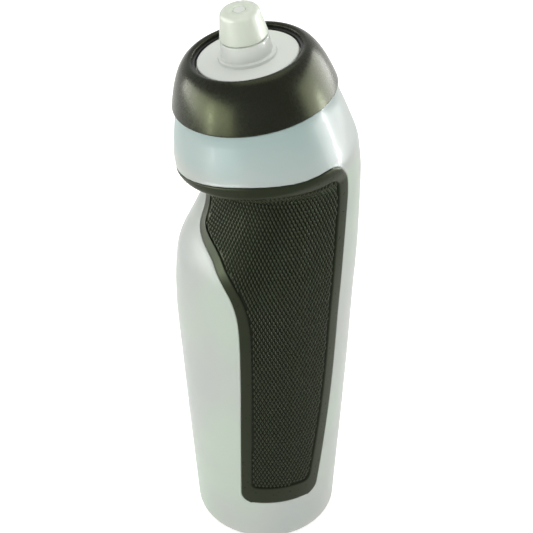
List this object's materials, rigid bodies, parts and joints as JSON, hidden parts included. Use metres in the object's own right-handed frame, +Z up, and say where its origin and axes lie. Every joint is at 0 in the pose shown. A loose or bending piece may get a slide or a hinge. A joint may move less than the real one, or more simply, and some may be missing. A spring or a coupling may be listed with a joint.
{
  "type": "sports squeeze bottle",
  "caption": "Translucent squeeze bottle with a finger notch, black grip pads, a tilted screw collar and a push-pull drinking nozzle.",
  "frame": {"origin": "centre of the standing ring, on the surface that the bottle stands on", "axes": "+Z up along the body's axis, -X towards the finger notch that the head leans over, pads on the -Y and +Y sides"},
  "size_m": [0.0737, 0.073, 0.2435],
  "materials": {
    "shell_plastic": "translucent, smooth",
    "pad_rubber": "satin, knurled",
    "sleeve_rubber": "satin",
    "ring_plastic": "fine matt",
    "deck_plastic": "translucent, smooth",
    "nozzle_plastic": "translucent, satin",
    "seal_rubber": "matt silicone"
  },
  "bodies": {
    "bottle": {"bottle_shell": "shell_plastic", "left_grip_pad": "pad_rubber", "right_grip_pad": "pad_rubber"},
    "deck": {"spout_deck": "deck_plastic", "rim_gasket": "seal_rubber", "nozzle_seal": "seal_rubber"},
    "collar": {"screw_ring": "ring_plastic", "collar_sleeve": "sleeve_rubber"},
    "nozzle": {"pull_nozzle": "nozzle_plastic"}
  },
  "joints": [
    {"name": "deck_lift", "type": "slide", "parent": "bottle", "child": "deck", "axis": [-0.153, 0, 0.9882], "range_m": [0, 0.005]},
    {"name": "collar_turn", "type": "hinge", "parent": "deck", "child": "collar", "pos_m": [-0.003, 0, 0.2073], "axis": [-0.153, 0, 0.9882], "range_deg": [0, 360]},
    {"name": "nozzle_pull", "type": "slide", "parent": "deck", "child": "nozzle", "axis": [-0.153, 0, 0.9882], "range_m": [0, 0.004]}
  ],
  "couplings": [
    {"joint": "deck_lift", "follows": "collar_turn", "m_per_rad": 0.00079577}
  ]
}
